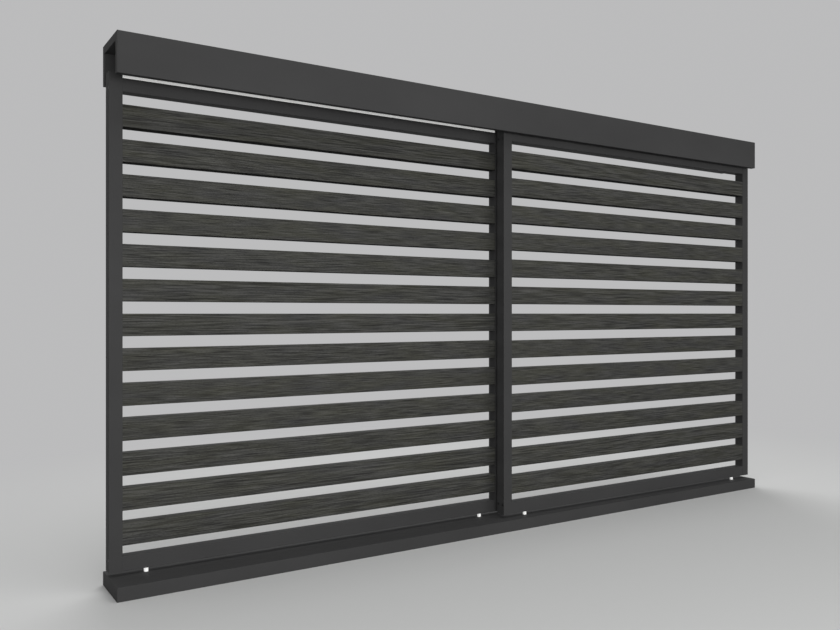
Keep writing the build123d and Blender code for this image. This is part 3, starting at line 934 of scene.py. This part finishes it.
class SHUTTER_OT_hangers(ShutterStep):
    """Threaded hangers with the nuts that clamp the top rails"""

    bl_idname = "shutter.hangers"
    bl_label = "Finish the hangers and nuts"

    def execute(self, context):
        sizes = self.settings.hangers
        dress([f"{panel}_hanger_{end}" for panel in PANELS for end in ENDS],
              threaded_zinc(self.settings.finish, sizes.neck))
        flats = sizes.nut_flats / 2
        corner = flats / math.cos(math.pi / HEXAGON)
        nut = self.nut(sizes, flats)
        zinc = drawn_metal("Zinc plated nut", self.settings.finish.zinc,
                           lines=(500.0, 500.0, 500.0), rough=0.32)
        for seed, panel in enumerate(PANELS):
            low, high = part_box(f"{panel}_lock_nuts")
            middle = (low.y + high.y) / 2
            places = [(Vector((x, middle, z)), (0.0, 0.0, 0.0))
                      for x in (low.x + corner, high.x - corner)
                      for z in (low.z, high.z - sizes.nut_height)]
            mesh = scatter(f"{panel}_nuts", nut, places, zinc, seed, spin=0.0)
            show(f"{panel}_nuts", mesh, f"{panel}_panel", [f"{panel}_lock_nuts"])
        return {"FINISHED"}

    def nut(self, sizes, flats):
        """A hexagon nut with bevelled corners and a bore that is wider at its ends."""
        tall = sizes.nut_height
        bevel = sizes.nut_bevel
        lead = sizes.nut_lead
        bore = sizes.stem + sizes.nut_play
        face = NUT_FACE * flats
        return turned("lock_nut", (
            (bore, lead, ROUND), (bore + lead, 0.0, ROUND), (face, 0.0, ROUND),
            (flats, bevel, HEXAGON), (flats, tall - bevel, HEXAGON), (face, tall, ROUND),
            (bore + lead, tall, ROUND), (bore, tall - lead, ROUND),
        ), steps=36, ring_closed=True)


class SHUTTER_OT_wheels(ShutterStep):
    """Turned wheels with their bearings, pressed on the axles"""

    bl_idname = "shutter.wheels"
    bl_label = "Turn the wheels"

    def execute(self, context):
        sizes = self.settings.hangers
        steel = drawn_metal("Turned steel", self.settings.finish.steel,
                            lines=(60.0, 1800.0, 60.0), rough=0.30)
        for panel in PANELS:
            for end in ENDS:
                name = f"{panel}_wheelset_{end}"
                mesh = self.wheelset(sizes)
                low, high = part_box(name)
                mesh.transform(Matrix.Translation((low + high) / 2)
                               @ Matrix.Rotation(math.pi / 2, 4, "X"))
                mesh.materials.append(steel)
                smooth_by_angle(mesh)
                show(f"{panel}_wheels_{end}_turned", mesh, f"{panel}_wheels_{end}",
                     [name])
        return {"FINISHED"}

    def wheelset(self, sizes):
        """Two wheels on one axle: tread, rim, sunk bearing shield, hub and chamfered axle."""
        axle = sizes.axle
        tread = sizes.wheel
        bevel = sizes.wheel_bevel
        face = AXLE_REACH - sizes.axle_end
        shield = face - sizes.shield
        inner = face - sizes.wheel_width
        hub = inner - sizes.hub_height
        half = (
            (axle - sizes.axle_bevel, AXLE_REACH), (axle, AXLE_REACH - sizes.axle_bevel),
            (axle, face), (axle + sizes.collar, face), (axle + sizes.collar, shield),
            (tread - sizes.rim, shield), (tread - sizes.rim, face),
            (tread - bevel, face), (tread, face - bevel), (tread, inner + bevel),
            (tread - bevel, inner), (sizes.hub, inner), (sizes.hub, hub), (axle, hub),
        )
        rings = [(radius, height, ROUND) for radius, height in half]
        rings += [(radius, -height, ROUND) for radius, height in reversed(half)]
        return turned("wheelset", rings, steps=48)


class SHUTTER_OT_stage(ShutterStep):
    """Plain floor, even light and the camera"""

    bl_idname = "shutter.stage"
    bl_label = "Set the stage"

    def execute(self, context):
        stage = self.settings.stage
        self.floor(stage)
        self.sky(stage)
        aim = Vector((0.0, 0.0, stage.aim))
        self.lamp("Key", aim, place=(-1.8, -3.6, 0.90), size=(2.6, 1.2), watts=stage.key)
        self.lamp("Front", aim, place=(2.4, -5.0, 1.2), size=(4.4, 2.0), watts=stage.front)
        self.lamp("Top", aim, place=(0.0, -0.9, 4.4), size=(4.4, 3.0), watts=stage.top)
        self.lamp("Back", aim, place=(1.2, 3.4, 4.4), size=(4.4, 2.4), watts=stage.back)
        self.camera(stage)
        return {"FINISHED"}

    def floor(self, stage):
        """A large plain floor whose far parts take the backdrop's tone."""
        mesh = bpy.data.meshes.new("Floor")
        near = -FLOOR_REACH
        far = FLOOR_REACH
        corners = [(near, near, 0.0), (far, near, 0.0), (far, far, 0.0), (near, far, 0.0)]
        mesh.from_pydata(corners, [], [(0, 1, 2, 3)])
        mesh.materials.append(self.floor_finish(stage))
        floor = bpy.data.objects.new("Floor", mesh)
        bpy.context.scene.collection.objects.link(floor)

    def floor_finish(self, stage):
        """A matt floor that fades into the backdrop's tone all round."""
        material, tree, shader, place = new_finish("Plain floor")
        tree.links.new(blend_colour(tree, seen(tree), stage.bounce, stage.floor),
                       shader.inputs["Base Color"])
        shader.inputs["Roughness"].default_value = stage.floor_roughness
        oval = put(tree, "ShaderNodeVectorMath", operation="MULTIPLY")
        oval.inputs[1].default_value = FLOOR_OVAL
        tree.links.new(place, oval.inputs[0])
        away = put(tree, "ShaderNodeVectorMath", operation="LENGTH")
        tree.links.new(oval.outputs["Vector"], away.inputs[0])
        fade = spread(tree, away.outputs["Value"], stage.fade_start, stage.fade_end)
        glow = put(tree, "ShaderNodeEmission")
        glow.inputs["Color"].default_value = (*stage.backdrop, 1.0)
        mixed = blend_shader(tree, sum_up(tree, "MULTIPLY", fade, seen(tree)),
                             shader.outputs["BSDF"], glow.outputs["Emission"])
        tree.links.new(mixed, tree.nodes["Material Output"].inputs["Surface"])
        return material

    def sky(self, stage):
        """Even light from all round, with the backdrop's tone where it is seen."""
        world = bpy.data.worlds.new("Studio")
        world.use_nodes = True
        tree = world.node_tree
        tree.nodes.clear()
        lit = put(tree, "ShaderNodeBackground")
        lit.inputs["Color"].default_value = (1.0, 1.0, 1.0, 1.0)
        lit.inputs["Strength"].default_value = stage.sky
        plain = put(tree, "ShaderNodeBackground")
        plain.inputs["Color"].default_value = (*stage.backdrop, 1.0)
        mixed = blend_shader(tree, seen(tree), lit.outputs["Background"],
                             plain.outputs["Background"])
        out = put(tree, "ShaderNodeOutputWorld")
        tree.links.new(mixed, out.inputs["Surface"])
        bpy.context.scene.world = world

    def lamp(self, name, aim, place, size, watts):
        """A large rectangular lamp that faces the middle of the shutter."""
        data = bpy.data.lights.new(name, "AREA")
        data.shape = "RECTANGLE"
        data.size, data.size_y = size
        data.energy = watts
        lamp = bpy.data.objects.new(name, data)
        lamp.location = place
        lamp.rotation_euler = (aim - Vector(place)).to_track_quat("-Z", "Y").to_euler()
        lamp.visible_camera = False
        bpy.context.scene.collection.objects.link(lamp)

    def camera(self, stage):
        """The photograph's level camera."""
        data = bpy.data.cameras.new("Camera")
        data.lens = stage.lens
        data.sensor_width = stage.sensor
        data.shift_y = stage.rise
        camera = bpy.data.objects.new("Camera", data)
        camera.location = stage.eye
        camera.rotation_euler = (math.pi / 2, 0.0, stage.turn)
        bpy.context.scene.collection.objects.link(camera)
        bpy.context.scene.camera = camera
        bpy.context.scene.view_settings.view_transform = "Standard"


class SHUTTER_PT_sidebar(bpy.types.Panel):
    """The shutter's steps and sizes"""

    bl_idname = "SHUTTER_PT_sidebar"
    bl_label = "Shutter"
    bl_space_type = "VIEW_3D"
    bl_region_type = "UI"
    bl_category = "Shutter"

    def draw(self, context):
        for step in STEPS:
            self.layout.operator(step.bl_idname)
        settings = context.scene.shutter
        for group in (settings.finish, settings.slats, settings.screws, settings.hangers,
                      settings.stage):
            column = self.layout.box().column()
            for name in group.__annotations__:
                column.prop(group, name)


STEPS = (
    SHUTTER_OT_stage, SHUTTER_OT_metalwork, SHUTTER_OT_slats, SHUTTER_OT_nylon,
    SHUTTER_OT_tracks, SHUTTER_OT_track_screws, SHUTTER_OT_corner_screws,
    SHUTTER_OT_hangers, SHUTTER_OT_wheels,
)
CLASSES = (
    FinishSettings, SlatSettings, ScrewSettings, HangerSettings, StageSettings,
    ShutterSettings, *STEPS, SHUTTER_PT_sidebar,
)


def register():
    """Make the settings, steps and panel known to Blender."""
    for cls in CLASSES:
        bpy.utils.register_class(cls)
    bpy.types.Scene.shutter = PointerProperty(type=ShutterSettings, name="Shutter",
                                              description="Settings of the sliding shutter")


def unregister():
    """Take them out again."""
    del bpy.types.Scene.shutter
    for cls in reversed(CLASSES):
        bpy.utils.unregister_class(cls)


def main():
    """Run every step."""
    register()
    for step in STEPS:
        group, name = step.bl_idname.split(".")
        getattr(getattr(bpy.ops, group), name)()


if __name__ == "__main__":
    main()
